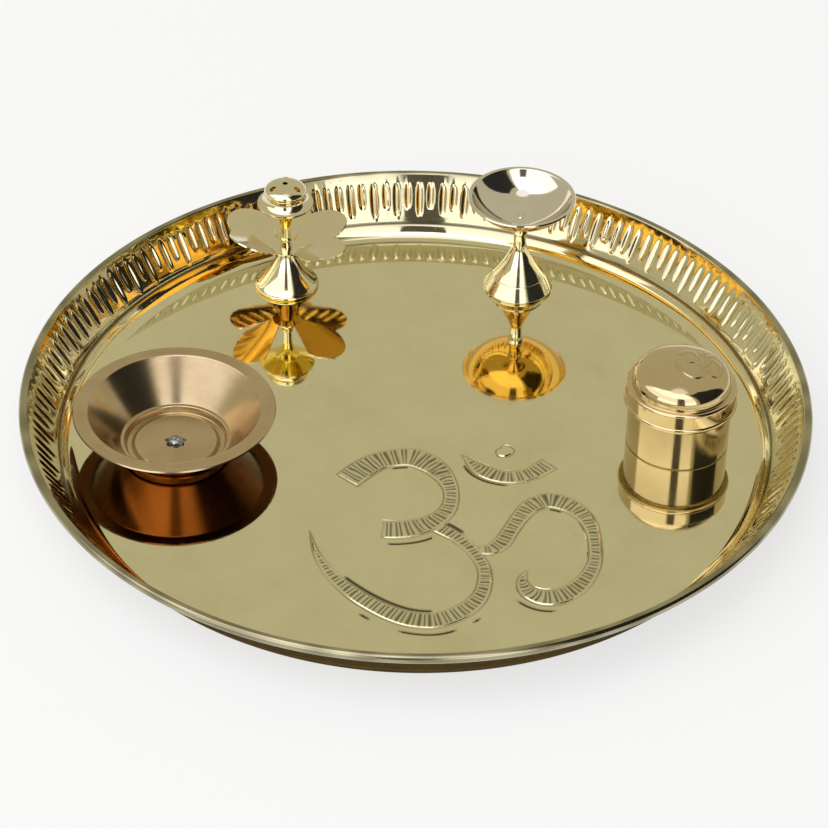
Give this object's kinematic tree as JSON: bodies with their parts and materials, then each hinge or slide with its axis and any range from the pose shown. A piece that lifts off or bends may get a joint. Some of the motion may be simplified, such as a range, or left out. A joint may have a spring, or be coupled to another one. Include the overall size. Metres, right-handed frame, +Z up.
{
  "type": "puja thali",
  "caption": "Round brass worship tray with a fluted sloping wall and rolled edge, carrying a lift-off flower incense holder, footed oil lamp, lidded powder box and flared bowl.",
  "frame": {"origin": "centre of the plate's underside, on the table it rests on", "axes": "+Z up, -Y towards the person at the tray and +X to that person's right"},
  "size_m": [0.254, 0.254, 0.0427],
  "materials": {
    "plate_brass": "polished sheet, lightly scratched",
    "cast_brass": "turned and polished",
    "sheet_brass": "polished sheet",
    "turned_brass": "fine turned, satin",
    "bowl_bronze": "spun, brushed and toned brown",
    "rivet_metal": "dull, hammered"
  },
  "bodies": {
    "tray": {"thali_plate": "plate_brass"},
    "incense_holder": {"incense_base": "cast_brass", "incense_flower": "sheet_brass", "incense_bud": "cast_brass"},
    "diya": {"diya_stand": "cast_brass", "diya_cup": "sheet_brass"},
    "kumkum_box": {"kumkum_box_body": "turned_brass"},
    "kumkum_lid": {"kumkum_box_lid": "turned_brass"},
    "bowl": {"bowl": "bowl_bronze", "bowl_rivet": "rivet_metal"}
  },
  "joints": [
    {"name": "incense_lift", "type": "slide", "parent": "tray", "child": "incense_holder", "axis": [0, 0, 1], "range_m": [0, 0.06]},
    {"name": "diya_lift", "type": "slide", "parent": "tray", "child": "diya", "axis": [0, 0, 1], "range_m": [0, 0.06]},
    {"name": "box_lift", "type": "slide", "parent": "tray", "child": "kumkum_box", "axis": [0, 0, 1], "range_m": [0, 0.06]},
    {"name": "lid_lift", "type": "slide", "parent": "kumkum_box", "child": "kumkum_lid", "axis": [0, 0, 1], "range_m": [0, 0.03]},
    {"name": "bowl_lift", "type": "slide", "parent": "tray", "child": "bowl", "axis": [0, 0, 1], "range_m": [0, 0.06]}
  ]
}
